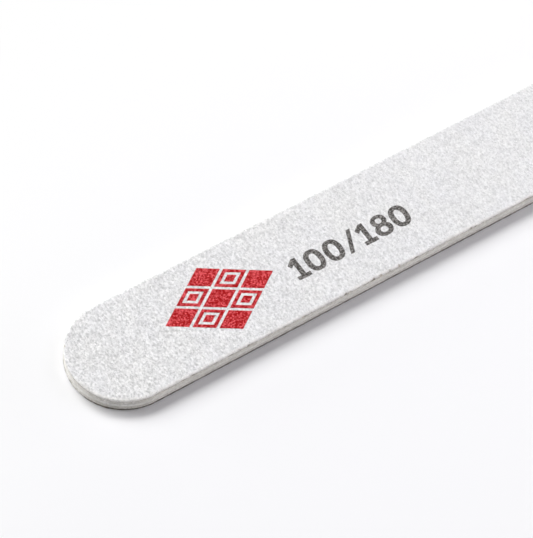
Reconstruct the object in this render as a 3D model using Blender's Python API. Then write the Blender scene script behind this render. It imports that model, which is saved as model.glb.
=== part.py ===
# A straight double-sided nail file, cut with a die from a glued laminate.
# Metres, +Z up, the length along X. The origin is the middle of the resting face.
# Eleven layers lie face to face. From the resting face up they are abrasive coat, backing
# paper, glue film, foam and glue film, then one plastic core, then the same five in reverse.

import math

import bmesh
import bpy

# The whole file
FILE_LENGTH = 0.178
FILE_WIDTH = 0.020
END_FACETS = 36  # straight facets round each half-round end

# Thickness of each layer
COAT_100_THICKNESS = 0.00026  # coarse grain, 100 grit, facing up
COAT_180_THICKNESS = 0.00020  # finer grain, 180 grit, facing down
PAPER_THICKNESS = 0.00022
SHEET_GLUE_THICKNESS = 0.00006
FOAM_THICKNESS = 0.00068
CORE_GLUE_THICKNESS = 0.00006
CORE_THICKNESS = 0.00072

# How far each layer's cut edge lies inside the outline of the abrasive faces
PAPER_SET_BACK = 0.00003
GLUE_SET_BACK = 0.00012
FOAM_SET_BACK = 0.00004
CORE_SET_BACK = 0.00002

# The die comes down on the upper face: coat, paper and glue roll together over the foam, which
# thins at the rim. The lower rim lies on the cutting board and lifts only a little.
RIM_ROLL_WIDTH = 0.00050
RIM_ROLL_STEPS = 4
UPPER_PINCH_SHARE = 0.28  # how far the upper rim drops, of the foam's thickness
LOWER_PINCH_SHARE = 0.12  # how far the lower rim rises, of the foam's thickness

# The foam springs back between its two glued faces, which draws its cut edge in
FOAM_DRAW_IN = 0.00014
FOAM_DRAW_IN_STEPS = 8

# The stiff core keeps a small broken edge above and below its cut face
CORE_EDGE_BREAK = 0.00006

# An edge that bends more than this stays sharp in the smooth shading
SHARP_EDGE_DEGREES = 30

# Colours are linear red, green and blue
FINISHES = {
    "abrasive": {"colour": (0.79, 0.79, 0.80), "roughness": 0.85},
    "paper": {"colour": (0.29, 0.25, 0.21), "roughness": 0.80},
    "glue": {"colour": (0.20, 0.17, 0.14), "roughness": 0.45},
    "foam": {"colour": (0.50, 0.47, 0.44), "roughness": 0.90},
    "core": {"colour": (0.55, 0.52, 0.49), "roughness": 0.50},
}


def remove_all_objects():
    for thing in list(bpy.data.objects):
        bpy.data.objects.remove(thing, do_unlink=True)


def finish_material(name):
    finish = FINISHES[name]
    material = bpy.data.materials.new(name)
    material.use_nodes = True
    shader = material.node_tree.nodes["Principled BSDF"]
    shader.inputs["Base Color"].default_value = (*finish["colour"], 1)
    shader.inputs["Roughness"].default_value = finish["roughness"]
    shader.inputs["Metallic"].default_value = 0
    return material


def outline(set_back):
    """Points round the file's outline, moved in by set_back: two half circles joined by straight sides."""
    radius = FILE_WIDTH / 2 - set_back
    reach = (FILE_LENGTH - FILE_WIDTH) / 2
    points = []
    for side, start in ((1, -math.pi / 2), (-1, math.pi / 2)):
        for step in range(END_FACETS + 1):
            angle = start + math.pi * step / END_FACETS
            points.append((side * reach + radius * math.cos(angle), radius * math.sin(angle)))
    return points


# Each edge form lists (set back, height above the layer's lower face) from its lower face up.
# The rim's roll is added to it afterwards.


def straight_edge(thickness, set_back):
    return [(set_back, 0), (set_back, thickness)]


def drawn_in_edge(thickness, set_back):
    """The foam's edge: a half wave that is deepest midway between the glued faces."""
    form = []
    for step in range(FOAM_DRAW_IN_STEPS + 1):
        share = step / FOAM_DRAW_IN_STEPS
        form.append((set_back + FOAM_DRAW_IN * math.sin(math.pi * share), thickness * share))
    return form


def broken_edge(thickness, set_back):
    """The core's edge: flat, with a small bevel above and below."""
    inner = set_back + CORE_EDGE_BREAK
    return [
        (inner, 0),
        (set_back, CORE_EDGE_BREAK),
        (set_back, thickness - CORE_EDGE_BREAK),
        (inner, thickness),
    ]


def roll_stations():
    """The bends of the rolled rim, a quarter ellipse: each one's set back, and its share of the full roll."""
    stations = []
    for step in range(RIM_ROLL_STEPS + 1):
        turn = math.pi / 2 * step / RIM_ROLL_STEPS
        stations.append((RIM_ROLL_WIDTH * (1 - math.cos(turn)), 1 - math.sin(turn)))
    return stations


def roll_share(set_back):
    """The share of the full roll at a set back, straight between two bends so that glued faces meet exactly."""
    stations = roll_stations()
    for (outer, outer_share), (inner, inner_share) in zip(stations, stations[1:]):
        if set_back <= inner:
            return outer_share + (inner_share - outer_share) * (set_back - outer) / (inner - outer)
    return 0


def rolled_face(height, roll, edge_set_back):
    """The rolled part of a flat face, from just inside its cut edge inwards; empty where nothing rolls."""
    if not roll:
        return []
    stations = [set_back for set_back, _ in roll_stations() if set_back > edge_set_back]
    return [(set_back, height + roll * roll_share(set_back)) for set_back in stations]


def rolled_section(edge, base, roll_below, roll_above):
    """A layer's edge form at its place in the stack, with the rolled parts of its two faces added.

    roll_below and roll_above are how far its lower and upper face move up at the outline.
    """
    thickness = edge[-1][1]
    lift_below = roll_below * roll_share(edge[0][0])
    lift_above = roll_above * roll_share(edge[-1][0])
    wall = []
    for set_back, height in edge:
        lift = lift_below + (lift_above - lift_below) * height / thickness
        wall.append((set_back, base + height + lift))
    below = rolled_face(base, roll_below, edge[0][0])
    above = rolled_face(base + thickness, roll_above, edge[-1][0])
    return below[::-1] + wall + above


def layer_mesh(name, section):
    """One closed solid: a ring of the outline for each place of the section, skinned, with two end faces."""
    mesh = bmesh.new()
    rings = []
    for set_back, height in section:
        rings.append([mesh.verts.new((x, y, height)) for x, y in outline(set_back)])
    for ring, next_ring in zip(rings, rings[1:]):
        for step in range(len(ring)):
            ahead = (step + 1) % len(ring)
            mesh.faces.new((ring[step], ring[ahead], next_ring[ahead], next_ring[step]))
    mesh.faces.new(reversed(rings[0]))
    mesh.faces.new(rings[-1])
    data = bpy.data.meshes.new(name)
    mesh.to_mesh(data)
    mesh.free()
    return data


def add_layer(name, section, material, holder):
    data = layer_mesh(name, section)
    data.materials.append(material)
    data.shade_smooth()
    data.set_sharp_from_angle(angle=math.radians(SHARP_EDGE_DEGREES))
    layer = bpy.data.objects.new(name, data)
    layer.parent = holder
    bpy.context.scene.collection.objects.link(layer)


def build_nail_file():
    remove_all_objects()
    holder = bpy.data.objects.new("nail_file", None)
    bpy.context.scene.collection.objects.link(holder)
    materials = {name: finish_material(name) for name in FINISHES}

    paper = straight_edge(PAPER_THICKNESS, PAPER_SET_BACK)
    sheet_glue = straight_edge(SHEET_GLUE_THICKNESS, GLUE_SET_BACK)
    foam = drawn_in_edge(FOAM_THICKNESS, FOAM_SET_BACK)
    core_glue = straight_edge(CORE_GLUE_THICKNESS, GLUE_SET_BACK)
    core = broken_edge(CORE_THICKNESS, CORE_SET_BACK)
    rise = LOWER_PINCH_SHARE * FOAM_THICKNESS
    drop = -UPPER_PINCH_SHARE * FOAM_THICKNESS

    # Each layer's name, edge, finish, and how far its lower and upper face move up at the rim
    layers = (
        ("abrasive_coat_180", straight_edge(COAT_180_THICKNESS, 0), "abrasive", rise, rise),
        ("backing_paper_180", paper, "paper", rise, rise),
        ("sheet_glue_180", sheet_glue, "glue", rise, rise),
        ("foam_cushion_180", foam, "foam", rise, 0),
        ("core_glue_180", core_glue, "glue", 0, 0),
        ("plastic_core", core, "core", 0, 0),
        ("core_glue_100", core_glue, "glue", 0, 0),
        ("foam_cushion_100", foam, "foam", 0, drop),
        ("sheet_glue_100", sheet_glue, "glue", drop, drop),
        ("backing_paper_100", paper, "paper", drop, drop),
        ("abrasive_coat_100", straight_edge(COAT_100_THICKNESS, 0), "abrasive", drop, drop),
    )
    base = 0
    for name, edge, finish, roll_below, roll_above in layers:
        section = rolled_section(edge, base, roll_below, roll_above)
        add_layer(name, section, materials[finish], holder)
        base += edge[-1][1]


build_nail_file()
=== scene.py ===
# A straight nail file with an abrasive face on each side, lying on a white table.
# Lengths are metres. The length runs along X, the printed end is at -X, and the table is z = 0.
import math

import bpy
import numpy as np
from mathutils import Matrix, Vector
from mathutils.bvhtree import BVHTree
from mathutils.geometry import delaunay_2d_cdt


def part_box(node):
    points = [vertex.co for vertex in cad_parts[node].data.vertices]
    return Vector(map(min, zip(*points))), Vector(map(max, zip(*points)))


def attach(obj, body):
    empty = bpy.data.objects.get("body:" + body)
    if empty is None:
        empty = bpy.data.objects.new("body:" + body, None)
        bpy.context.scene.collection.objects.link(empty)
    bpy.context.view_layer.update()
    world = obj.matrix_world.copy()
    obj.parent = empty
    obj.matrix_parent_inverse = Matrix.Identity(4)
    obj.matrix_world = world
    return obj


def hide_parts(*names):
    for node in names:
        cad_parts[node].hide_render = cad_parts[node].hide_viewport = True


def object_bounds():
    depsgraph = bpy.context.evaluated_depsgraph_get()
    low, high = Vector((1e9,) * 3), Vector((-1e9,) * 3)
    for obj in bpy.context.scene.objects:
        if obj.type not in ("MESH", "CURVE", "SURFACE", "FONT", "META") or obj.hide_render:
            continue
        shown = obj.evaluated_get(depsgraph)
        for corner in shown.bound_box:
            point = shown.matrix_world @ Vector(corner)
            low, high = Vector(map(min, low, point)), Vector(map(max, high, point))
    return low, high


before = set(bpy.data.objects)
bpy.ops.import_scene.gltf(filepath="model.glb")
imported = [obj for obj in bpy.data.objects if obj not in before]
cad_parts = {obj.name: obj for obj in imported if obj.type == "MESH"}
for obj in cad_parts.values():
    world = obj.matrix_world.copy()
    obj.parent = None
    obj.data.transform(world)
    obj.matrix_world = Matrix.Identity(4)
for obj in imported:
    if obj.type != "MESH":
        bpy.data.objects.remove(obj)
cadBox = [list(corner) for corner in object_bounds()]
print("frame loaded:", len(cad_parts), "layers")

mm = 0.001
halfLength, halfWidth, topHeight = cadBox[1]
reach = halfLength - halfWidth  # from the middle to the centre of each round end

# The stack from the resting face up: how high each flat face lies, and how far it lifts at the rim,
# where the die rolls the sheets over the foam
stack = [
    "abrasive_coat_180", "backing_paper_180", "sheet_glue_180", "foam_cushion_180", "core_glue_180",
    "plastic_core",
    "core_glue_100", "foam_cushion_100", "sheet_glue_100", "backing_paper_100", "abrasive_coat_100",
]
coreNumber = stack.index("plastic_core")
levels = [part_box(node)[0].z for node in stack[:coreNumber + 1]]
levels += [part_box(node)[1].z for node in stack[coreNumber:]]
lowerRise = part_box(stack[0])[1].z - levels[1]
upperDrop = levels[-2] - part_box(stack[-1])[0].z
lifts = [lowerRise] * 4 + [0.0] * 4 + [-upperDrop] * 4

# The roll is a quarter ellipse. The rings that carry it, by their set backs from the outline
rimWidth = 0.5 * mm
rollSteps = 7
rollRings = [rimWidth * (1 - math.cos(math.pi / 2 * step / rollSteps)) for step in range(rollSteps + 1)]
backRings = rollRings[::2] + rollRings[-1:]  # of a coat's glued back


# The share of the full roll at a set back
def rollShare(setBack):
    return 1 - math.sqrt(1 - max(0.0, 1 - setBack / rimWidth) ** 2)


# Nodes

# The node tree that is being built, to which the functions below add their nodes
work = {"tree": None}


# An output in that tree; adding, subtracting, multiplying and dividing it makes Math nodes
class Value:
    def __init__(self, socket):
        self.socket = socket

    def __add__(self, other):
        return calc("ADD", self, other)

    def __sub__(self, other):
        return calc("SUBTRACT", self, other)

    def __rsub__(self, other):
        return calc("SUBTRACT", other, self)

    def __mul__(self, other):
        return calc("MULTIPLY", self, other)

    def __truediv__(self, other):
        return calc("DIVIDE", self, other)

    def __rtruediv__(self, other):
        return calc("DIVIDE", other, self)


def setInputs(node, inputs):
    for key, value in inputs.items():
        if isinstance(value, Value):
            work["tree"].links.new(value.socket, node.inputs[key])
        else:
            node.inputs[key].default_value = value


def addNode(kind, inputs=None, **settings):
    node = work["tree"].nodes.new(kind)
    for name, value in settings.items():
        setattr(node, name, value)
    setInputs(node, inputs or {})
    return node


# A new node's output
def out(kind, inputs=None, output=0, **settings):
    return Value(addNode(kind, inputs, **settings).outputs[output])


def calc(operation, *values, clamp=False):
    return out("ShaderNodeMath", dict(enumerate(values)), operation=operation, use_clamp=clamp)


# A share of the first value and the rest of the second
def blend(share, first, second):
    return first * share + second * (1 - share)


# value moved from the range low..high to 0..1, with eased ends
def easeBetween(value, low, high):
    inputs = {"Value": value, "From Min": low, "From Max": high}
    return out("ShaderNodeMapRange", inputs, interpolation_type="SMOOTHSTEP")


def vectorCalc(operation, *values, output=0, **named):
    inputs = {**dict(enumerate(values)), **named}
    return out("ShaderNodeVectorMath", inputs, output, operation=operation)


def vector(**parts):
    return out("ShaderNodeCombineXYZ", parts)


# The X, Y and Z of a vector
def axes(source):
    return [Value(socket) for socket in addNode("ShaderNodeSeparateXYZ", {0: source}).outputs]


def noise(place, scale, detail, roughness):
    inputs = {"Vector": place, "Scale": scale, "Detail": detail, "Roughness": roughness}
    return out("ShaderNodeTexNoise", inputs)


def cells(place, scale, output="Distance", feature="F1", **more):
    return out("ShaderNodeTexVoronoi", {"Vector": place, "Scale": scale, **more}, output, feature=feature)


# Starts a tree and gives its inputs. An input is described by its usual value, or by its kind where
# it has none, and an output by its kind.
def newTree(name, treeKind, inputs, outputs):
    valueKinds = {float: "Float", int: "Int", bool: "Bool"}
    tree = work["tree"] = bpy.data.node_groups.new(name, treeKind)
    for label, usual in inputs.items():
        kind = usual if isinstance(usual, str) else valueKinds[type(usual)]
        socket = tree.interface.new_socket(label, in_out="INPUT", socket_type="NodeSocket" + kind)
        if kind != usual:
            socket.default_value = usual
    for label, kind in outputs.items():
        tree.interface.new_socket(label, in_out="OUTPUT", socket_type="NodeSocket" + kind)
    return {socket.name: Value(socket) for socket in addNode("NodeGroupInput").outputs}


# Ends the tree with its outputs
def endTree(outputs):
    addNode("NodeGroupOutput", outputs)
    return work["tree"]


# The name in a dictionary of settings for a tree's input: clumpSize for Clump Size
def settingName(label):
    first, *others = label.split()
    return first.lower() + "".join(others)


# Runs a Geometry Nodes tree on a piece, with the settings that it has inputs for, and keeps the result
# as the piece's plain mesh
def bakeTree(piece, tree, settings):
    modifier = piece.modifiers.new("shape", "NODES")
    modifier.node_group = tree
    for item in tree.interface.items_tree:
        value = settings.get(settingName(item.name))
        if item.in_out == "INPUT" and value is not None:
            modifier[item.identifier] = float(value) if item.socket_type == "NodeSocketFloat" else value
    depsgraph = bpy.context.evaluated_depsgraph_get()
    shaped = bpy.data.meshes.new_from_object(piece.evaluated_get(depsgraph), depsgraph=depsgraph)
    piece.modifiers.remove(modifier)
    rough = piece.data
    piece.data = shaped
    bpy.data.meshes.remove(rough)
    shaped.name = piece.name


# Meshes

def newObject(name, data):
    thing = bpy.data.objects.new(name, data)
    bpy.context.scene.collection.objects.link(thing)
    return thing


def newPiece(name, points, faces, material=None):
    mesh = bpy.data.meshes.new(name)
    mesh.from_pydata(np.asarray(points, float).tolist(), [], faces)
    mesh.shade_smooth()
    if material:
        mesh.materials.append(material)
    return newObject(name, mesh)


# One number, or three, of every vertex, corner or polygon
def readAll(items, key, kind=float, width=1):
    values = np.zeros(len(items) * width, kind)
    items.foreach_get(key, values)
    return values if width == 1 else values.reshape(-1, width)


def meshPoints(mesh):
    return readAll(mesh.vertices, "co", width=3)


# Stations round the outline, the same ones for every set back: the middle of the arc or straight
# that each lies on, and its angle. The first lies at the +X tip, and they run anticlockwise.
def outlineStations(spacing):
    alongSide = max(2, round(2 * reach / spacing))
    alongQuarter = max(2, round(math.pi / 2 * halfWidth / spacing))
    quarter = np.linspace(0, math.pi / 2, alongQuarter, endpoint=False)
    side = np.linspace(reach, -reach, alongSide, endpoint=False)
    tip = np.full(alongQuarter, reach)
    centres = np.concatenate([tip, side, -tip, -tip, -side, tip])
    upright = np.full(alongSide, math.pi / 2)
    halfTurn = math.pi / 2 + np.concatenate([quarter, math.pi / 2 + quarter])
    angles = np.concatenate([quarter, upright, halfTurn, 3 * upright, 3 * math.pi / 2 + quarter])
    return centres, angles


def outlineRing(stations, setBack, height):
    centres, angles = stations
    radius = halfWidth - setBack
    x, y = centres + radius * np.cos(angles), radius * np.sin(angles)
    return np.stack([x, y, np.full(len(angles), height)], axis=1)


# Quads between two rings of count points that start at lower and upper, facing out when upper is above
def bandFaces(count, lower, upper):
    here = np.arange(count)
    ahead = (here + 1) % count
    return np.stack([lower + here, lower + ahead, upper + ahead, upper + here], axis=1).tolist()


# Closes a ring of count points with strips from side to side
def capFaces(count, start, facingUp):
    half = count // 2
    faces = [(0, 1, count - 1)]
    faces += [(step, step + 1, count - step - 1, count - step) for step in range(1, half - 1)]
    faces.append((half - 1, half, half + 1))
    return [tuple(start + i for i in (face if facingUp else face[::-1])) for face in faces]


# A closed slice of the file whose cut wall follows rows of (set back, height), from the bottom up
def sliceBody(name, rows, spacing, material):
    stations = outlineStations(spacing)
    count = len(stations[0])
    points = np.concatenate([outlineRing(stations, setBack, height) for setBack, height in rows])
    faces = capFaces(count, 0, False) + capFaces(count, (len(rows) - 1) * count, True)
    for row in range(len(rows) - 1):
        faces += bandFaces(count, row * count, (row + 1) * count)
    return newPiece(name, points, faces, material)


# Points in a triangular pattern inside a box, each moved a little at random
def scatteredPoints(low, high, spacing, jitter, random):
    rowStep = spacing * math.sqrt(3) / 2
    rows = np.arange(low[1], high[1], rowStep)
    columns = np.arange(low[0], high[0], spacing)
    x, y = np.meshgrid(columns, rows)
    x = x + np.where(np.arange(len(rows)) % 2, spacing / 2, 0)[:, None]
    points = np.stack([x.ravel(), y.ravel()], axis=1)
    return points + random.uniform(-jitter, jitter, points.shape) * spacing


def distanceFromRim(points):
    across = np.hypot(points[:, 0] - np.clip(points[:, 0], -reach, reach), points[:, 1])
    return halfWidth - across


# Triangles between flat points, with the given edges kept; gives the points and the triangles
def triangulate(points, edges=()):
    mergeDistance = 1e-9
    corners = [Vector(point) for point in points.tolist()]
    found = delaunay_2d_cdt(corners, list(edges), [], 0, mergeDistance, False)
    return np.array([tuple(point) for point in found[0]]), found[2]


# An abrasive coat before its relief: a fine top face, rings that follow the rim, a wall and a back
coatMesh = {
    "spacing": 0.222 * mm,
    "jitter": 0.16,
    "innerGap": 0.14 * mm,  # between the last ring and the scattered points
    "wallHeightShare": 0.2,
}


def coatBody(name, thickness, material, seed):
    random = np.random.default_rng(seed)
    spacing = coatMesh["spacing"]
    stations = outlineStations(spacing)
    count = len(stations[0])
    rings = [outlineRing(stations, setBack, thickness) for setBack in rollRings]
    low, high = (-halfLength, -halfWidth), (halfLength, halfWidth)
    inner = scatteredPoints(low, high, spacing, coatMesh["jitter"], random)
    inner = inner[distanceFromRim(inner) > rimWidth + coatMesh["innerGap"]]
    flat = np.concatenate([np.concatenate(rings)[:, :2], inner])
    found, triangles = triangulate(flat)
    assert len(found) == len(flat), "the coat's points were merged"
    top = np.column_stack([flat, np.full(len(flat), thickness)])
    middle = outlineRing(stations, 0, thickness * coatMesh["wallHeightShare"])
    back = [outlineRing(stations, setBack, 0) for setBack in backRings]
    faces = [tuple(face) for face in triangles]
    faces += bandFaces(count, len(top), 0)
    start = len(top) + count
    faces += bandFaces(count, start, len(top))
    for step in range(len(backRings) - 1):
        faces += bandFaces(count, start + (step + 1) * count, start + step * count)
    faces += capFaces(count, start + (len(backRings) - 1) * count, False)
    return newPiece(name, np.concatenate([top, middle, *back]), faces, material)


# How far round the outline places lie, anticlockwise from the start of the round end at +X
def aroundOutline(x, y):
    arc = math.pi * halfWidth
    nearEnd = (np.arctan2(y, x - reach) + math.pi / 2) * halfWidth
    farEnd = arc + 2 * reach + (np.arctan2(y, x + reach) % (2 * math.pi) - math.pi / 2) * halfWidth
    side = np.where(y > 0, arc + reach - x, 2 * arc + 3 * reach + x)
    return np.select([x > reach, x < -reach], [nearEnd, farEnd], side)


# The map through which a piece is baked. Each zone, for faces that look up, down or out, goes
# from low to high in the map: flat faces as strips of the length, walls as rows round the outline.
bakeMap = {
    "name": "OFBake",
    "flatSlope": 0.35,  # of a face's normal, above which it looks up or down
    "spare": 0.5 * mm,  # at the ends of each strip and row
    "faceMargin": 0.03,  # along the sides of each strip
    "wallMargin": 0.15,
}


def addBakeMap(piece, zones):
    mesh = piece.data
    corners = readAll(mesh.loops, "vertex_index", int)
    sizes = readAll(mesh.polygons, "loop_total", int)
    x, y, z = meshPoints(mesh)[corners].T
    middleX, middleY, _ = np.repeat(readAll(mesh.polygons, "center", width=3), sizes, axis=0).T
    slope = np.repeat(readAll(mesh.polygons, "normal", width=3)[:, 2], sizes)
    limit, spare = bakeMap["flatSlope"], bakeMap["spare"]
    looks = np.select([slope > limit, slope < -limit], ["up", "down"], "out")
    places = np.zeros((len(corners), 2))
    for zone, (low, high, rows) in zones.items():
        if zone == "out":
            length, bottom, top = 4 * reach + 2 * math.pi * halfWidth, z.min(), z.max()
            along, across, margin = aroundOutline(middleX, middleY), z, bakeMap["wallMargin"]
            ahead = (aroundOutline(x, y) - along + length / 2) % length - length / 2
        else:
            length, bottom, top = 2 * halfLength, -halfWidth, halfWidth
            along, across, margin = middleX + halfLength, y, bakeMap["faceMargin"]
            ahead = x - middleX
        row = np.clip(np.floor(along / length * rows), 0, rows - 1)
        u = (along + ahead - row * length / rows + spare) / (length / rows + 2 * spare)
        share = (across - bottom + margin * (top - bottom)) / ((1 + 2 * margin) * (top - bottom))
        v = low + (row + share) / rows * (high - low)
        chosen = looks == zone
        places[chosen] = np.stack([u, v], axis=1)[chosen]
    layer = mesh.uv_layers.new(name=bakeMap["name"])
    layer.data.foreach_set("uv", places.astype(np.float32).ravel())


# Geometry Nodes trees

def newGeometryTree(name, inputs):
    inputs = {"Geometry": "Geometry", **inputs, "Material": "Material"}
    return newTree(name, "GeometryNodeTree", inputs, {"Geometry": "Geometry"})


# Ends a geometry tree with real geometry in the given material
def endGeometryTree(geometry, given):
    real = out("GeometryNodeRealizeInstances", {"Geometry": geometry})
    coated = out("GeometryNodeSetMaterial", {"Geometry": real, "Material": given["Material"]})
    return endTree({"Geometry": coated})


def position():
    return out("GeometryNodeInputPosition")


def storeAttribute(geometry, name, value):
    inputs = {"Geometry": geometry, "Name": name, "Value": value}
    return out("GeometryNodeStoreNamedAttribute", inputs, data_type="FLOAT", domain="POINT")


# How far a point lies in from the outline, and which way is out
def outlineGroup():
    newTree("fromOutline", "GeometryNodeTree", {}, {"Distance": "Float", "Outward": "Vector"})
    x, y, _ = axes(position())
    arm = vector(X=x - out("ShaderNodeClamp", {"Value": x, "Min": -reach, "Max": reach}), Y=y)
    distance = halfWidth - vectorCalc("LENGTH", arm, output="Value")
    return endTree({"Distance": distance, "Outward": vectorCalc("NORMALIZE", arm)})


fromOutline = outlineGroup()


def outlineOf():
    return [Value(socket) for socket in addNode("GeometryNodeGroup", node_tree=fromOutline).outputs]


# The rims and cut walls are painted lighter at the tips of the round ends, as painted light, from one
# distance from the middle to the next, and the upper rim and upper layers over a longer stretch
tipFrom = 0.98 * halfLength
tipTo = 0.999 * halfLength
upperTipShift = 6 * mm

# What the reliefs of both coats share; each pair of limits is eased from the first to the second
relief = {
    "topFrom": 0.99,  # of the thickness, above which a point is on the top face
    "smoothness": 0.35,
    "dome": (0.75, 0.1),  # in clumps from the middle of one
    "domeShare": 0.45,  # of the height, the rest is ridges
    "ridge": (0.3, 0.7),
    "ridgeScale": 1.1,
    "ridgeNoise": (1.0, 0.5),  # detail and roughness
    "raggedNoise": (3.0, 0.65),
    "ragged": (0.25, 0.75),
    "raggedBand": 0.52 * mm,
    "chipScale": 0.45,
    "chipNoise": (1.0, 0.5),
    "chip": (0.62, 0.74),
    "chipShare": 0.6,  # of the depth of a listed chip
    "bareBand": 0.3 * mm,
    "blotch": (0.49, 0.6),
    "leastBlotch": 0.1,
    "cleanTip": 0.95,
    "rimBand": 0.8 * mm,
}


# The relief of an abrasive coat: clumps of grain, a rim that the die has rolled down, and a ragged edge
def reliefTree():
    given = newGeometryTree("gritRelief", {
        "Clump Size": 0.45 * mm,
        "Ridge Share": 0.4,
        "Depth": 0.05 * mm,
        "Thickness": 0.26 * mm,
        "Rim Width": 0.45 * mm,
        "Rim Drop": 0.4 * mm,
        "Shoulder Width": 0.12 * mm,
        "Shoulder Drop": 0.06 * mm,
        "Ragged Depth": 0.05 * mm,
        "Ragged Length": 0.5 * mm,
        "Chip Depth": 0.25 * mm,
        "Wall Wear": 0.35,
        "Rim Wear": 0.2,
        "Tip Shift": 0.0,
        "Tip Wear": 0.0,
        "Seed": 0.0,
    })
    distance, outward = outlineOf()
    place = position()
    x, _, z = axes(place)
    onTop = calc("GREATER_THAN", z, given["Thickness"] * relief["topFrom"])
    moved = vectorCalc("ADD", place, vector(Z=given["Seed"]))

    # clumps: rounded cells of uneven height, with low ridges that run across the file
    perClump = 1.0 / given["Clump Size"]
    clumps = cells(moved, perClump, feature="SMOOTH_F1", Smoothness=relief["smoothness"])
    stretched = vectorCalc("MULTIPLY", moved, vector(X=1.0, Y=given["Ridge Share"], Z=1.0))
    ridges = noise(stretched, perClump * relief["ridgeScale"], *relief["ridgeNoise"])
    dome, ridge = easeBetween(clumps, *relief["dome"]), easeBetween(ridges, *relief["ridge"])
    hollow = (1.0 - blend(relief["domeShare"], dome, ridge)) * onTop

    # rim: the whole sheet rolls down over the foam, and the grain at its edge is worn to a small shoulder
    def rolled(width, drop):
        turn = 1.0 - calc("DIVIDE", distance, width, clamp=True)
        return (1.0 - calc("SQRT", 1.0 - turn * turn)) * drop

    sink = hollow * given["Depth"] + rolled(given["Shoulder Width"], given["Shoulder Drop"]) * onTop
    sink = sink + rolled(given["Rim Width"], given["Rim Drop"])

    # ragged edge: always a little uneven, with a chip knocked out here and there
    perRag = 1.0 / given["Ragged Length"]
    rag = noise(moved, perRag, *relief["raggedNoise"])
    chips = noise(moved, perRag * relief["chipScale"], *relief["chipNoise"])
    uneven = easeBetween(rag, *relief["ragged"]) * given["Ragged Depth"]
    knocked = easeBetween(chips, *relief["chip"]) * given["Chip Depth"] * relief["chipShare"]
    listed = out("GeometryNodeInputNamedAttribute", {"Name": "chip"}, data_type="FLOAT")
    chipped = calc("MAXIMUM", knocked, listed * given["Chip Depth"])
    worn = calc("MAXIMUM", chipped, uneven) * easeBetween(distance, relief["raggedBand"], 0.0)

    # what the die and the chips lay bare under the pale coating, darkened as painted shade in the chips and
    # on the cut walls; less of it at the tips of the file, as painted light, and, where given, more at the
    # very tip
    along = calc("ABSOLUTE", x)
    atTip = easeBetween(along + given["Tip Shift"], tipFrom, tipTo)
    blotch = easeBetween(blend(0.5, rag, chips), *relief["blotch"])
    blotch = blotch * (1 - relief["leastBlotch"]) + relief["leastBlotch"]
    # painted light: less of the bared and shaded colour at the tips of the round ends
    blotch = blotch * (1.0 - atTip * relief["cleanTip"])
    # darker at the very tip of the file, by the given share
    blotch = blotch + easeBetween(along, tipFrom, tipTo) * given["Tip Wear"]
    wearAndShade = blotch * (onTop * given["Rim Wear"] + (1.0 - onTop) * given["Wall Wear"])
    bare = calc("MAXIMUM", chipped / given["Chip Depth"], wearAndShade)
    bare = bare * easeBetween(distance, relief["bareBand"], 0.0)

    kept = storeAttribute(given["Geometry"], "hollow", hollow)
    kept = storeAttribute(kept, "bare", bare)
    kept = storeAttribute(kept, "rim", easeBetween(distance, relief["rimBand"], 0.0))
    inward = vectorCalc("SCALE", outward, Scale=worn * -1.0)
    offset = vectorCalc("ADD", vector(Z=sink * -1.0), inward)
    return endGeometryTree(out("GeometryNodeSetPosition", {"Geometry": kept, "Offset": offset}), given)


gritRelief = reliefTree()

steepest = 0.3  # slope of a face that still holds a grain, by the height of its normal


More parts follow.
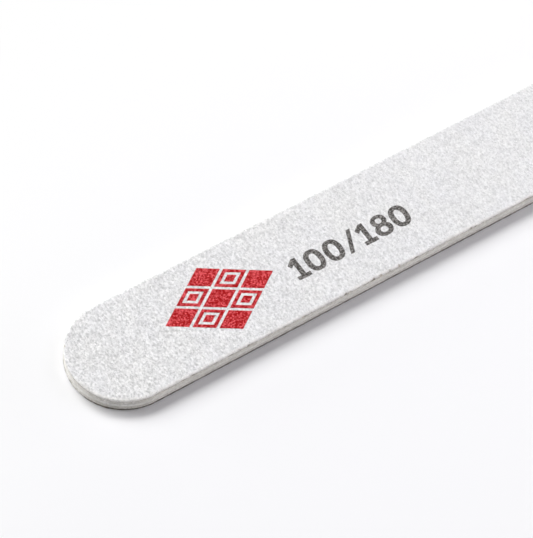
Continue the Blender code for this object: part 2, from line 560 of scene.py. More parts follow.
# Single grains: eight-sided crystals scattered over a face, half sunk, none higher than the tips
def grainTree():
    given = newGeometryTree("gritGrains", {
        "Keep Surface": False,
        "Grains Per Area": 1.0e7,
        "Least Gap": 0.1 * mm,
        "Grain Size": 0.2 * mm,
        "Size Spread": 0.3,
        "Sink": 0.0,
        "Tip Height": 1.0,
        "Clear Of": "Object",
        "Clearance": 0.0,
        "Rim Margin": 0.1 * mm,
        "Seed": 0,
    })
    distance, _ = outlineOf()
    facingUp = axes(out("GeometryNodeInputNormal"))[2]
    inside = calc("GREATER_THAN", distance, given["Rim Margin"])
    inputs = {
        "Mesh": given["Geometry"],
        "Selection": calc("GREATER_THAN", facingUp, steepest) * inside,
        "Distance Min": given["Least Gap"],
        "Density Max": given["Grains Per Area"],
        "Seed": given["Seed"],
    }
    points = out("GeometryNodeDistributePointsOnFaces", inputs, "Points", distribute_method="POISSON")
    printed = out("GeometryNodeObjectInfo", {"Object": given["Clear Of"]}, "Geometry")
    near = out("GeometryNodeProximity", {0: printed}, "Distance", target_element="FACES")
    inputs = {"Geometry": points, "Selection": calc("LESS_THAN", near, given["Clearance"])}
    points = out("GeometryNodeDeleteGeometry", inputs, domain="POINT")
    tone = out("FunctionNodeRandomValue", {"Seed": 1}, 1, data_type="FLOAT")

    def randomVector(least, most, seed):
        inputs = {"Min": least, "Max": most, "Seed": seed}
        return out("FunctionNodeRandomValue", inputs, data_type="FLOAT_VECTOR")

    size, spread = given["Grain Size"], given["Size Spread"]
    least, most = (1.0 - spread) * size, (spread + 1.0) * size
    inputs = {
        "Points": storeAttribute(points, "tone", tone),
        "Instance": out("GeometryNodeMeshUVSphere", {"Segments": 4, "Rings": 2, "Radius": 0.5}, "Mesh"),
        "Rotation": randomVector((0.0, 0.0, 0.0), (2 * math.pi,) * 3, 2),
        "Scale": randomVector(vector(X=least, Y=least, Z=least), vector(X=most, Y=most, Z=most), 3),
    }
    grains = out("GeometryNodeRealizeInstances", {0: out("GeometryNodeInstanceOnPoints", inputs)})
    x, y, z = axes(position())
    sunk = vector(X=x, Y=y, Z=calc("MINIMUM", z - given["Sink"], given["Tip Height"]))
    grains = out("GeometryNodeSetPosition", {"Geometry": grains, "Position": sunk})
    grains = out("GeometryNodeSetShadeSmooth", {"Geometry": grains, "Shade Smooth": False})
    both = addNode("GeometryNodeJoinGeometry", {0: grains})
    setInputs(both, {0: given["Geometry"]})
    inputs = {"Switch": given["Keep Surface"], "False": grains, "True": Value(both.outputs[0])}
    return endGeometryTree(out("GeometryNodeSwitch", inputs, input_type="GEOMETRY"), given)


gritGrains = grainTree()

# What the cut walls share; each pair of limits is eased from the first to the second
cutWall = {
    "tearNoise": (4.0, 0.6),  # detail and roughness
    "tear": (0.25, 0.75),
    "pore": (0.55, 0.15),  # in pores from the middle of one
}


# The wall that the die leaves: upright tears and small pores, and the two glued faces left as they are
def cutWallTree():
    given = newGeometryTree("dieCutWall", {
        "Tear Length": 1.0 * mm,
        "Tear Depth": 0.02 * mm,
        "Pore Size": 0.15 * mm,
        "Pore Depth": 0.02 * mm,
        "Upright": 0.2,
        "Seed": 0.0,
    })
    _, outward = outlineOf()
    moved = vectorCalc("ADD", position(), vector(X=given["Seed"]))
    upright = vectorCalc("MULTIPLY", moved, vector(X=1.0, Y=1.0, Z=given["Upright"]))
    tears = noise(upright, 1.0 / given["Tear Length"], *cutWall["tearNoise"])
    pore = easeBetween(cells(moved, 1.0 / given["Pore Size"]), *cutWall["pore"])
    depth = easeBetween(tears, *cutWall["tear"]) * given["Tear Depth"] + pore * given["Pore Depth"]
    inputs = {"Geometry": given["Geometry"], "Offset": vectorCalc("SCALE", outward, Scale=depth * -1.0)}
    shaped = out("GeometryNodeSetPosition", inputs)
    return endGeometryTree(storeAttribute(shaped, "hollow", pore), given)


dieCutWall = cutWallTree()
print("geometry trees built")


# Shader groups and materials

def objectPlace():
    return out("ShaderNodeTexCoord", output="Object")


def attribute(name):
    return out("ShaderNodeAttribute", output="Fac", attribute_name=name)


def mixColours(share, first, second, mode="MIX"):
    inputs = {0: share}
    for key, colour in ((6, first), (7, second)):
        inputs[key] = colour if isinstance(colour, Value) else (*colour, 1.0)
    return out("ShaderNodeMix", inputs, 2, data_type="RGBA", blend_type=mode)


fleckInputs = {"Fleck Size": 0.2 * mm, "Cloud Size": 4 * mm, "Stretch Share": 1.0}
flecks = {
    "grainScale": 1.7,
    "grainNoise": (2.0, 0.7),  # detail and roughness
    "cloudNoise": (3.0, 0.55),
    "cloud": (0.3, 0.7),
}


# Flecks of lighter and darker mineral: a fleck mask, a soft cloud mask and a fine height
def fleckGroup():
    outputs = {"Fleck": "Float", "Cloud": "Float", "Height": "Float"}
    given = newTree("mineralFleck", "ShaderNodeTree", fleckInputs, outputs)
    place = vectorCalc("MULTIPLY", objectPlace(), vector(X=1.0, Y=given["Stretch Share"], Z=1.0))
    perFleck = 1.0 / given["Fleck Size"]
    cloud = noise(place, 1.0 / given["Cloud Size"], *flecks["cloudNoise"])
    return endTree({
        "Fleck": out("ShaderNodeSeparateColor", {0: cells(place, perFleck, "Color")}),
        "Cloud": easeBetween(cloud, *flecks["cloud"]),
        "Height": noise(place, perFleck * flecks["grainScale"], *flecks["grainNoise"]),
    })


mineralFleck = fleckGroup()


def newMaterial(name, roughness):
    material = bpy.data.materials.new(name)
    material.use_nodes = True
    work["tree"] = material.node_tree
    shader = material.node_tree.nodes["Principled BSDF"]
    setInputs(shader, {"Roughness": roughness})
    return material, shader


# A material with a fine bump from flecks, whose masks it gives too
def fleckedMaterial(look):
    material, shader = newMaterial(look["name"], look["roughness"])
    sizes = {label: look.get(settingName(label), usual) for label, usual in fleckInputs.items()}
    group = addNode("ShaderNodeGroup", sizes, node_tree=mineralFleck)
    fleck, cloud, height = [Value(socket) for socket in group.outputs]
    bump = out("ShaderNodeBump", {"Height": height, "Distance": look["bump"], "Strength": 1.0})
    setInputs(shader, {"Normal": bump})
    return material, shader, fleck, cloud


# Grain and resin under a dry white coating, darker in the hollows, which is painted shade and partly the
# grain showing through, and where the coating is cut away
def abrasiveMaterial(look):
    material, shader, fleck, cloud = fleckedMaterial(look)
    # painted shade: darker in the hollows of the relief, partly also the grain showing through
    raised = easeBetween(attribute("hollow"), *look["raised"])
    mineral = mixColours(blend(look["fleckShare"], fleck, raised), look["darkTint"], look["paleTint"])
    x, y, _ = axes(objectPlace())
    inward = easeBetween(calc("ABSOLUTE", x), halfLength, 0.0)
    mineral = mixColours(inward * look["evenShare"], mineral, look["evenTint"])
    # painted light along the near side's rim, which the roll turns away from the lamps
    paintedRimLight = attribute("rim") * easeBetween(y, *look["nearSide"]) * look["rimShare"]
    mineral = mixColours(paintedRimLight, mineral, look["rimTint"])
    tint = mixColours(cloud, look["warmTint"], look["coolTint"])
    mineral = mixColours(1.0, mineral, tint, "MULTIPLY")
    # painted shade: the bared colour also stands for shade in the chips and, on the lower coat, for the dark
    # gap at the table
    bareAndShaded = attribute("bare") * look["bareShare"]
    setInputs(shader, {"Base Color": mixColours(bareAndShaded, mineral, look["bareTint"])})
    return material


# Loose crystals, each with its own tone
def grainMaterial(look):
    material, shader = newMaterial(look["name"] + "Grain", look["grainRoughness"])
    dark = calc("POWER", attribute("tone"), look["darkGrainPower"])
    setInputs(shader, {"Base Color": mixColours(dark, look["paleGrain"], look["darkGrain"])})
    return material


# Printing ink over the grain, thin on the tips and thick in the hollows
def inkMaterial(look):
    material, shader, fleck, _ = fleckedMaterial(look)
    share = easeBetween(blend(look["fleckShare"], fleck, attribute("tone")), *look["thinning"])
    colour = mixColours(share, look["thick"], look["thin"])
    setInputs(shader, {"Specular IOR Level": look["gloss"], "Base Color": colour})
    return material


# Cut walls of paper, foam, plastic and glue, with pores and uneven dirt along them, painted shade in the
# pores and painted light at the round ends
def wallMaterial(look):
    material, shader, fleck, cloud = fleckedMaterial(look)
    x, _, z = axes(objectPlace())
    along = calc("ABSOLUTE", x) + calc("GREATER_THAN", z, topHeight / 2) * upperTipShift
    base = mixColours(cloud, look["pale"], look["deep"])
    # painted light: paler at the round ends, where the light from behind reaches the walls
    base = mixColours(easeBetween(along, tipFrom, tipTo), base, look["tipTint"])
    # painted shade in the pores; the same dark pore colour also marks random flecks
    poreShade = attribute("hollow") * look["poreShare"]
    share = calc("ADD", fleck * look["fleckShare"], poreShade, clamp=True)
    setInputs(shader, {"Base Color": mixColours(share, base, look["pore"])})
    return material


# The two abrasive faces

coarseFace = {
    "name": "abrasiveCoarse",
    "slot": "abrasive_coarse",
    "node": "abrasive_coat_100",
    "clumpSize": 0.42 * mm,
    "ridgeShare": 0.4,  # how much slower the ridges change across the file than along it
    "depth": 0.1 * mm,
    "shoulderWidth": 0.12 * mm,
    "shoulderDrop": 0.01 * mm,
    "raggedDepth": 0.055 * mm,
    "raggedLength": 0.42 * mm,
    "chipDepth": 0.26 * mm,
    "wallWear": 1.0,
    "rimWear": 0.12,
    "tipShift": upperTipShift,
    "tipWear": 0.6,
    "seed": 3,
    "grainsPerArea": 7.5e6,
    "leastGap": 0.26 * mm,
    "grainSize": 0.24 * mm,
    "sizeSpread": 0.35,
    "sink": 0.02 * mm,
    "rimMargin": 0.12 * mm,
    "grainRoughness": 0.7,
    "roughness": 0.9,
    "fleckSize": 0.2 * mm,
    "stretchShare": 0.6,
    "cloudSize": 5 * mm,
    "warmTint": (1.0, 0.998, 0.994),
    "coolTint": (0.987, 0.986, 1.0),
    "paleTint": (0.997, 0.997, 0.995),
    "darkTint": (0.49, 0.49, 0.49),
    # painted shade in the hollows of the relief, partly the grain showing
    "raised": (1.0, 0.18),  # in depths of the relief, from dark to pale
    "evenTint": (0.77, 0.77, 0.774),  # of the thicker coating towards the middle of the file
    "evenShare": 0.38,
    "rimTint": (0.97, 0.935, 0.885),  # painted light: lighter and warmer along the rim on the near side, which rolls away from the lamps
    "rimShare": 0.5,
    "nearSide": (0.1 * halfWidth, -0.5 * halfWidth),
    # bare paper and grain, darker as painted shade in the chips and on the cut wall
    "bareTint": (0.30, 0.24, 0.175),
    "bareShare": 0.95,
    "fleckShare": 0.55,  # of the brightness, the rest follows the hollows
    "paleGrain": (0.96, 0.96, 0.96),
    "darkGrain": (0.50, 0.50, 0.505),
    "darkGrainPower": 2.0,
    "bump": 0.06 * mm,
}

fineFace = dict(
    coarseFace,
    name="abrasiveFine",
    slot="abrasive_fine",
    node="abrasive_coat_180",
    clumpSize=0.32 * mm,
    depth=0.05 * mm,
    chipDepth=0.2 * mm,
    seed=11,
    grainsPerArea=8.5e6,
    leastGap=0.2 * mm,
    grainSize=0.17 * mm,
    sink=0.015 * mm,
    fleckSize=0.12 * mm,
    shoulderWidth=0.2 * mm,
    shoulderDrop=0.06 * mm,
    # painted shade: the lower coat's cut wall and rim are painted nearly black for the dark gap where the
    # file meets the table
    wallWear=5.0,
    rimWear=0.9,
    tipShift=0.0,
    tipWear=0.0,
    bareTint=(0.115, 0.095, 0.06),
)

# Chips seen on the near rim of the upper face: where along the length, and how long
nearRimChips = (
    (-40.0 * mm, 0.3 * mm), (-34.0 * mm, 0.3 * mm), (-32.5 * mm, 0.25 * mm), (-28.6 * mm, 0.25 * mm),
)
printClearance = 0.09 * mm  # from the printing to the loose grains of the face
noClearance = -1.0
facesPerGrain = 8


def markChips(piece, chips):
    points = meshPoints(piece.data)
    mark = np.zeros(len(points))
    for x, length in chips:
        along = np.clip(1 - np.abs(points[:, 0] - x) / length, 0, 1)
        mark = np.maximum(mark, np.where(points[:, 1] < 0, along, 0))
    piece.data.attributes.new("chip", "FLOAT", "POINT").data.foreach_set("value", mark.astype(np.float32))


def addCoat(name, face, rimDrop, chips):
    number = stack.index(face["node"])
    thickness = levels[number + 1] - levels[number]
    material = abrasiveMaterial(face)
    coat = coatBody(name, thickness, material, face["seed"])
    markChips(coat, chips)
    form = {"thickness": thickness, "rimWidth": rimWidth, "rimDrop": rimDrop}
    bakeTree(coat, gritRelief, {**face, **form, "material": material})
    print(name, "relief:", len(coat.data.polygons), "faces")
    return coat, thickness


def addGrains(name, face, coat, tipHeight, clearOf):
    grains = newObject(name, coat.data.copy())
    clearance = printClearance if clearOf else noClearance
    limits = {"tipHeight": tipHeight, "clearOf": clearOf, "clearance": clearance}
    bakeTree(grains, gritGrains, {**face, **limits, "material": grainMaterial(face)})
    print(name, "grains:", len(grains.data.polygons) // facesPerGrain)
    return grains


def finishPiece(piece, slot, *nodes):
    if nodes:
        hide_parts(*nodes)
    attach(piece, "root")


coarseCoat, coarseThickness = addCoat("coatCoarse", coarseFace, upperDrop, nearRimChips)
coarseCoat.data.transform(Matrix.Translation((0, 0, topHeight - coarseThickness)))

fineCoat, fineThickness = addCoat("coatFine", fineFace, lowerRise, ())
fineGrains = addGrains("grainFine", fineFace, fineCoat, fineThickness, None)
turnedOver = Matrix.Translation((0, 0, fineThickness)) @ Matrix.Rotation(math.pi, 4, "X")
for piece in (fineCoat, fineGrains):
    piece.data.transform(turnedOver)


# The printing: plain figures and a harlequin of lozenges

figures = {
    "name": "inkGrey",
    "thick": (0.061, 0.057, 0.053),
    "thin": (0.315, 0.30, 0.288),
    "roughness": 0.75,
    "gloss": 0.15,
    "fleckSize": 0.22 * mm,
    "fleckShare": 0.7,  # of the ink's thinness, the rest is each grain's own tone
    "thinning": (0.15, 0.75),
    "bump": 0.06 * mm,
    "filmStep": 0.12 * mm,  # between the points of the ink film
    "lift": 0.022 * mm,  # of the film above the grain
    "left": -halfLength + 43.4 * mm,  # where the first figure starts
    "baseline": -3.72 * mm,
    "unit": 0.985 * mm,  # of the drawings of the figures
}

lozenges = dict(
    figures,
    name="inkRed",
    thick=(0.36, 0.001, 0.003),
    thin=(0.80, 0.115, 0.13),
    fleckSize=0.26 * mm,
    middle=(-halfLength + 29.7 * mm, 0.32 * mm),
    halfLong=3.84 * mm,  # half of each lozenge's place along the file
    halfWide=2.49 * mm,
    gap=0.5 * mm,
    line=0.62 * mm,
    centreShare=0.34,
)


def superellipse(centre, halfX, halfY, power, count=56):
    angle = np.linspace(0, 2 * math.pi, count, endpoint=False)
    x = np.sign(np.cos(angle)) * np.abs(np.cos(angle)) ** (2 / power) * halfX
    y = np.sign(np.sin(angle)) * np.abs(np.sin(angle)) ** (2 / power) * halfY
    return np.stack([centre[0] + x, centre[1] + y], axis=1)


# Each figure is drawn in units from its own left edge and the baseline: outlines to fill, and
# outlines to leave open inside them
def figureOne():
    outline = [
        (0.0, 3.52), (1.25, 4.5), (2.1, 4.5), (2.1, 0.8), (2.95, 0.8), (2.95, 0.0),
        (0.25, 0.0), (0.25, 0.8), (1.13, 0.8), (1.13, 3.3), (0.5, 2.8),
    ]
    return [np.array(outline)], []


def figureZero():
    middle = (1.79, 2.26)
    return [superellipse(middle, 1.79, 2.29, 2.35)], [superellipse(middle, 0.76, 1.47, 2.2)]


def figureEight():
    upper, lower = (1.74, 3.3), (1.74, 1.33)
    filled = [superellipse(upper, 1.56, 1.25, 2.15), superellipse(lower, 1.74, 1.36, 2.2)]
    opened = [superellipse(upper, 0.62, 0.56, 2.1), superellipse(lower, 0.74, 0.62, 2.1)]
    return filled, opened


def figureSlash():
    return [np.array([(0.0, -0.05), (0.86, -0.05), (2.92, 4.6), (2.05, 4.6)])], []


# Which figure stands where, in units from the first one's left edge
figureRow = (
    (figureOne, 0.0), (figureZero, 3.18), (figureZero, 7.24), (figureSlash, 11.2),
    (figureOne, 14.46), (figureEight, 17.76), (figureZero, 21.66),
)


def lozenge(centre, halfX, halfY):
    x, y = centre
    return np.array([(x + halfX, y), (x, y + halfY), (x - halfX, y), (x, y - halfY)])


# Insetting a lozenge by a distance shortens both half diagonals in the same share
def insetLozenge(centre, halfX, halfY, distance):
    share = 1 - distance * math.hypot(halfX, halfY) / (halfX * halfY)
    return lozenge(centre, halfX * share, halfY * share)


def harlequin():
    filled, opened, middles = [], [], []
    halfX, halfY, middle = lozenges["halfLong"], lozenges["halfWide"], lozenges["middle"]
    inset, share = lozenges["gap"] / 2, lozenges["centreShare"]
    for column in (-1, 0, 1):
        for row in (-1, 0, 1):
            centre = (middle[0] + (column - row) * halfX, middle[1] + (column + row) * halfY)
            filled.append(insetLozenge(centre, halfX, halfY, inset))
            if (column + row) % 2:
                opened.append(insetLozenge(centre, halfX, halfY, inset + lozenges["line"]))
                middles.append(lozenge(centre, halfX * share, halfY * share))
    return filled, opened, middles


def isInside(points, loop):
    x, y = points[:, 0], points[:, 1]
    inside = np.zeros(len(points), bool)
    for (x0, y0), (x1, y1) in zip(loop, np.roll(loop, -1, axis=0)):
        crosses = (y0 > y) != (y1 > y)
        if y1 != y0:
            inside ^= crosses & (x < (x1 - x0) * (y - y0) / (y1 - y0) + x0)
    return inside


# More points along a loop, none further apart than step
def walkLoop(loop, step):
    points = []
    for start, end in zip(loop, np.roll(loop, -1, axis=0)):
        count = max(1, math.ceil(np.linalg.norm(end - start) / step))
        points.append(start + (end - start) * (np.arange(count) / count)[:, None])
    return np.concatenate(points)


fillJitter = 0.15  # of the points inside a mark, in steps
fillGap = 0.55  # least distance from them to its border, in steps


# Triangles that fill the loops of one mark, less the open ones, with points every step between
def filledMark(filled, opened, middles, step, random):
    def covers(points):
        marked = np.zeros(len(points), bool)
        for loops, value in ((filled, True), (opened, False), (middles, True)):
            for loop in loops:
                marked[isInside(points, loop)] = value
        return marked

    loops = [walkLoop(loop, step) for loop in (*filled, *opened, *middles)]
    border = np.concatenate(loops)
    edges, start = [], 0
    for loop in loops:
        edges += [(start + i, start + (i + 1) % len(loop)) for i in range(len(loop))]
        start += len(loop)
    inner = scatteredPoints(border.min(0), border.max(0), step, fillJitter, random)
    inner = inner[covers(inner)]
    apart = np.hypot(*(inner[:, None, :] - border[None, :, :]).transpose(2, 0, 1)).min(1)
    inner = inner[apart > fillGap * step]
    points, triangles = triangulate(np.concatenate([border, inner]), edges)
    triangles = np.array(triangles)
    triangles = triangles[covers(points[triangles].mean(1))]
    used, triangles = np.unique(triangles, return_inverse=True)
    return points[used], triangles.reshape(-1, 3)


# A closed film of ink over the relief of the coat, its underside just below the grain
def inkFilm(name, marks, look, coat, seed):
    random = np.random.default_rng(seed)
    ground = BVHTree.FromObject(coat, bpy.context.evaluated_depsgraph_get())
    wellAbove, down = 1.0, Vector((0, 0, -1))
    allPoints, allFaces, start = [], [], 0
    for mark in marks:
        points, triangles = filledMark(*mark, look["filmStep"], random)
        places = [Vector((x, y, wellAbove)) for x, y in points.tolist()]
        heights = np.array([ground.ray_cast(place, down)[0].z for place in places])
        count = len(points)
        corners = np.concatenate([triangles[:, [0, 1]], triangles[:, [1, 2]], triangles[:, [2, 0]]])
        seen = {tuple(pair) for pair in corners.tolist()}
        faces = triangles.tolist() + (triangles[:, ::-1] + count).tolist()
        faces += [(b, a, a + count, b + count) for a, b in corners.tolist() if (b, a) not in seen]
        allPoints += [np.column_stack([points, heights + lift]) for lift in (look["lift"], -look["lift"])]
        allFaces += [tuple(start + i for i in face) for face in faces]
        start += 2 * count
    film = newPiece(name, np.concatenate(allPoints), allFaces, inkMaterial(look))
    print(name, "film:", len(allFaces), "faces")
    return film


grainShare = 0.9  # of the size of the face's grains, under ink


def inkGrains(film, look, face, tipHeight, seed):
    bakeTree(film, gritGrains, {
        **face,
        "keepSurface": True,
        "grainSize": face["grainSize"] * grainShare,
        "sink": face["sink"] + look["lift"],
        "tipHeight": tipHeight,
        "clearance": noClearance,
        "rimMargin": 0.0,
        "seed": seed,
        "material": film.data.materials[0],
    })


figureMarks = []
for draw, offset in figureRow:
    corner = (figures["left"] + offset * figures["unit"], figures["baseline"])
    filled, opened = [[loop * figures["unit"] + corner for loop in loops] for loops in draw()]
    figureMarks.append((filled, opened, []))
figureFilm = inkFilm("printedFigures", figureMarks, figures, coarseCoat, seed=5)
lozengeFilm = inkFilm("printedLozenges", [harlequin()], lozenges, coarseCoat, seed=6)

bothPoints, bothFaces = [], []
for film in (figureFilm, lozengeFilm):
    start = sum(len(points) for points in bothPoints)
    bothPoints.append(meshPoints(film.data))
    bothFaces += [tuple(start + i for i in face.vertices) for face in film.data.polygons]
bothFilms = newPiece("bothFilms", np.concatenate(bothPoints), bothFaces)
coarseGrains = addGrains("grainCoarse", coarseFace, coarseCoat, topHeight, bothFilms)
bpy.data.objects.remove(bothFilms)
inkGrains(figureFilm, figures, coarseFace, topHeight, seed=21)
inkGrains(lozengeFilm, lozenges, coarseFace, topHeight, seed=22)

# The zones of the bake maps: from, to, and in how many strips or rows
addBakeMap(coarseCoat, {"up": (0.0, 0.925, 3), "out": (0.93, 0.985, 6), "down": (0.987, 1.0, 1)})
addBakeMap(fineCoat, {"down": (0.0, 0.925, 3), "out": (0.93, 0.985, 6), "up": (0.987, 1.0, 1)})
for coat, grains, face in ((coarseCoat, coarseGrains, coarseFace), (fineCoat, fineGrains, fineFace)):
    finishPiece(coat, face["slot"], face["node"])
    finishPiece(grains, face["slot"])
finishPiece(figureFilm, None)
finishPiece(lozengeFilm, None)


# The cut layers between the two faces

paper = {
    "name": "backingPaper",
    "slot": "backing_paper",
    "nodes": ("backing_paper_100",),
    "setBack": 0.03 * mm,
    "rows": 3,
    "spacing": 0.14 * mm,
    "tearLength": 0.5 * mm,
    "tearDepth": 0.06 * mm,
    "poreSize": 0.2 * mm,
    "poreDepth": 0.02 * mm,
    "upright": 0.5,
    "roughness": 0.9,
    "fleckSize": 0.6 * mm,
    "cloudSize": 0.9 * mm,
    "pale": (0.82, 0.74, 0.62),
    "deep": (0.42, 0.365, 0.29),
    # dark colour of random flecks, and painted shade in the pores
    "pore": (0.08, 0.066, 0.05),
    "tipTint": (0.86, 0.82, 0.745),
    "fleckShare": 0.8,
    "poreShare": 0.2,
    "bump": 0.02 * mm,
}

# The lower backing paper is the same paper painted dark, as painted shade of the gap where the file meets the
# table, and paler at the round ends as painted light
lowerPaper = dict(
    paper,
    name="lowerPaper",
    nodes=("backing_paper_180",),
    pale=(0.33, 0.29, 0.228),
    deep=(0.13, 0.113, 0.087),
    pore=(0.06, 0.051, 0.037),
    tipTint=(0.80, 0.78, 0.74),
    fleckShare=0.7,
)

foam = dict(
    paper,
    name="foamCushion",
    slot="foam",
    nodes=("foam_cushion_100", "foam_cushion_180"),
    setBack=0.04 * mm,
    drawIn=0.14 * mm,
    rows=10,
    spacing=0.13 * mm,
    tearLength=1.6 * mm,
    tearDepth=0.03 * mm,
    poreSize=0.16 * mm,
    poreDepth=0.03 * mm,
    upright=0.4,
    fleckSize=0.34 * mm,
    cloudSize=6 * mm,
    pale=(0.875, 0.847, 0.79),
    deep=(0.805, 0.776, 0.722),
    pore=(0.42, 0.397, 0.355),
    tipTint=(0.92, 0.90, 0.86),
    fleckShare=0.42,
    poreShare=0.25,
)

core = dict(
    paper,
    name="plasticCore",
    slot="core",
    nodes=("plastic_core",),
    setBack=0.02 * mm,
    edgeBreak=0.06 * mm,
    rows=8,
    spacing=0.16 * mm,
    tearLength=0.35 * mm,
    tearDepth=0.02 * mm,
    poreDepth=0.0,
    upright=0.05,
    roughness=0.5,
    fleckSize=0.38 * mm,
    cloudSize=8 * mm,
    pale=(0.86, 0.842, 0.79),
    deep=(0.81, 0.787, 0.74),
    pore=(0.50, 0.483, 0.445),
    tipTint=(0.91, 0.895, 0.86),
    fleckShare=0.38,
    poreShare=0.0,
    bump=0.01 * mm,
)

glue = {
    "name": "glueFilm",
    "nodes": ("sheet_glue_100", "sheet_glue_180", "core_glue_100", "core_glue_180"),
    "roughness": 0.4,
    "fleckSize": 0.3 * mm,
    "cloudSize": 3 * mm,
    "pale": (0.30, 0.27, 0.22),
    "deep": (0.20, 0.175, 0.15),
    "pore": (0.12, 0.10, 0.085),
    "tipTint": (0.40, 0.37, 0.33),
    "fleckShare": 0.3,
    "poreShare": 0.0,
    "bump": 0.01 * mm,
}


# Rows round a layer's edge: the rolled part of its lower face, the wall, which is drawn in like foam,
# broken at its corners like plastic or plain, and the rolled part of its upper face
def edgeRows(layer, number):
    def rolledRows(boundary):
        if lifts[boundary] == 0:
            return []
        rings = [setBack for setBack in rollRings if setBack > layer["setBack"]]
        return [(setBack, levels[boundary] + lifts[boundary] * rollShare(setBack)) for setBack in rings]

    rolled = rollShare(layer["setBack"])
    low, high = [levels[face] + lifts[face] * rolled for face in (number, number + 1)]
    wall = []
    for step in range(layer["rows"] + 1):
        share = step / layer["rows"]
        height = low + (high - low) * share
        setBack = layer["setBack"] + layer.get("drawIn", 0) * math.sin(math.pi * share)
        setBack += max(0, layer.get("edgeBreak", 0) - min(height - low, high - height))
        wall.append((setBack, height))
    return rolledRows(number)[::-1] + wall + rolledRows(number + 1)


def addLayers(layer):
    material = wallMaterial(layer)
    pieces = []
    for node in layer["nodes"]:
        number = stack.index(node)
        name = layer["name"] + "".join(filter(str.isdigit, node))
        piece = sliceBody(name, edgeRows(layer, number), layer["spacing"], material)
        bakeTree(piece, dieCutWall, {**layer, "seed": number, "material": material})
        addBakeMap(piece, {"out": (0.0, 0.9, 16), "up": (0.91, 0.95, 1), "down": (0.955, 0.995, 1)})
        finishPiece(piece, layer["slot"], node)
        pieces.append(piece)
    print(layer["name"], "layers:", len(pieces))
    return pieces


for layer in (paper, lowerPaper, core):
    addLayers(layer)
for piece in addLayers(foam):
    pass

glueMaterial = wallMaterial(glue)
for node in glue["nodes"]:
    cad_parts[node].data.materials.clear()
    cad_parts[node].data.materials.append(glueMaterial)


# Table, light and camera

table = {
    "halfSize": 1.5,
    "colour": (0.912, 0.913, 0.923),
    "roughness": 0.9,
    "whiteWay": (-0.45, 0.9),  # the way behind the file in which the picture turns white
    "white": (0.02, 0.09),  # distance along it at which the white begins, and where it is full
}

# Softboxes round the table: the direction in which each stands, its size along the horizon and up
warmWhite = (1.0, 1.0, 0.995)
coolWhite = (0.965, 0.946, 1.0)
lampDistance = 1.6
lamps = {
    "highSoftbox": dict(azimuth=90.0, elevation=58.5, size=(0.8, 0.55), power=13.6, colour=warmWhite),
    "backSoftbox": dict(azimuth=120.0, elevation=39.0, size=(1.38, 0.62), power=15.35, colour=warmWhite),
    "backStrip": dict(azimuth=142.0, elevation=6.0, size=(1.0, 0.33), power=6.9, colour=warmWhite),
    "sideStrip": dict(azimuth=331.0, elevation=7.0, size=(1.85, 0.38), power=12.3, colour=coolWhite),
    "frontSoftbox": dict(
        azimuth=330.0, elevation=50.0, size=(0.6, 0.3), power=1.0, colour=coolWhite, distance=0.55,
    ),
}
skyStrength = 0.05

cameraView = {
    "target": (-49.017 * mm, 1.168 * mm, 3.212 * mm),
    "azimuth": 47.148,
    "elevation": 55.686,
    "roll": 10.186,
    "distance": 479.04 * mm,
    "lens": 186.69,
    "sensor": 36.0,
    "clipStart": 10 * mm,
}


# One for rays that show a background: seen directly, mirrored or through glass
def backgroundRays():
    path = addNode("ShaderNodeLightPath").outputs
    camera, glossy, through = [Value(path[f"Is {kind} Ray"]) for kind in ("Camera", "Glossy", "Transmission")]
    return calc("MAXIMUM", calc("MAXIMUM", camera, glossy), through)


# Ends a material or world with its own shader, or a white one by a share of 0 to 1
def mixWhite(share, shader, whiteKind, endName):
    white = out(whiteKind, {"Color": (1, 1, 1, 1), "Strength": 1.0})
    mixed = out("ShaderNodeMixShader", {0: share, 1: Value(shader.outputs[0]), 2: white})
    setInputs(work["tree"].nodes[endName], {"Surface": mixed})


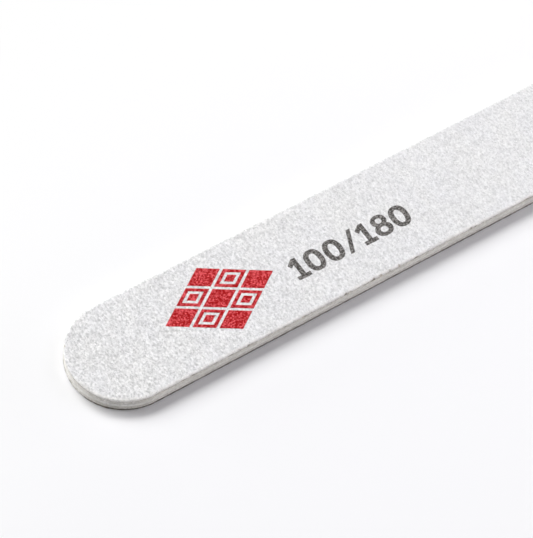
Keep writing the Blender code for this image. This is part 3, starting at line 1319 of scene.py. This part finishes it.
# The unit direction of an azimuth and an elevation in degrees
def direction(azimuth, elevation):
    turn, rise = math.radians(azimuth), math.radians(elevation)
    return Vector((math.cos(turn) * math.cos(rise), math.sin(turn) * math.cos(rise), math.sin(rise)))


def addTable():
    half = table["halfSize"]
    corners = [(-half, -half, 0), (half, -half, 0), (half, half, 0), (-half, half, 0)]
    material, shader = newMaterial("whiteTable", table["roughness"])
    setInputs(shader, {"Base Color": (*table["colour"], 1.0), "Specular IOR Level": 0.0})
    x, y, _ = axes(objectPlace())
    wayX, wayY = table["whiteWay"]
    away = easeBetween(x * wayX + y * wayY, *table["white"])
    mixWhite(away * backgroundRays(), shader, "ShaderNodeEmission", "Material Output")
    newPiece("table", corners, [(0, 1, 2, 3)], material)


def addLamp(name, look):
    way = direction(look["azimuth"], look["elevation"])
    lamp = bpy.data.lights.new(name, "AREA")
    lamp.shape = "RECTANGLE"
    lamp.size, lamp.size_y = look["size"]
    lamp.energy = look["power"]
    lamp.color = look["colour"]
    lampObject = newObject(name, lamp)
    lampObject.location = way * look.get("distance", lampDistance)
    lampObject.rotation_euler = way.to_track_quat("Z", "Y").to_euler()


def addWorld():
    world = bpy.data.worlds.new("paleRoom")
    world.use_nodes = True
    work["tree"] = world.node_tree
    back = world.node_tree.nodes["Background"]
    setInputs(back, {"Color": (*coolWhite, 1), "Strength": skyStrength})
    mixWhite(backgroundRays(), back, "ShaderNodeBackground", "World Output")
    bpy.context.scene.world = world


def addCamera():
    forward = direction(cameraView["azimuth"], -cameraView["elevation"])
    data = bpy.data.cameras.new("photoCamera")
    data.lens = cameraView["lens"]
    data.sensor_width = cameraView["sensor"]
    data.clip_start = cameraView["clipStart"]
    camera = newObject("photoCamera", data)
    turn = forward.to_track_quat("-Z", "Y").to_matrix().to_4x4()
    roll = Matrix.Rotation(math.radians(cameraView["roll"]), 4, "Z")
    place = Vector(cameraView["target"]) - forward * cameraView["distance"]
    camera.matrix_world = Matrix.Translation(place) @ turn @ roll
    bpy.context.scene.camera = camera


addTable()
for name, lamp in lamps.items():
    addLamp(name, lamp)
addWorld()
addCamera()
bpy.context.scene.view_settings.view_transform = "Standard"
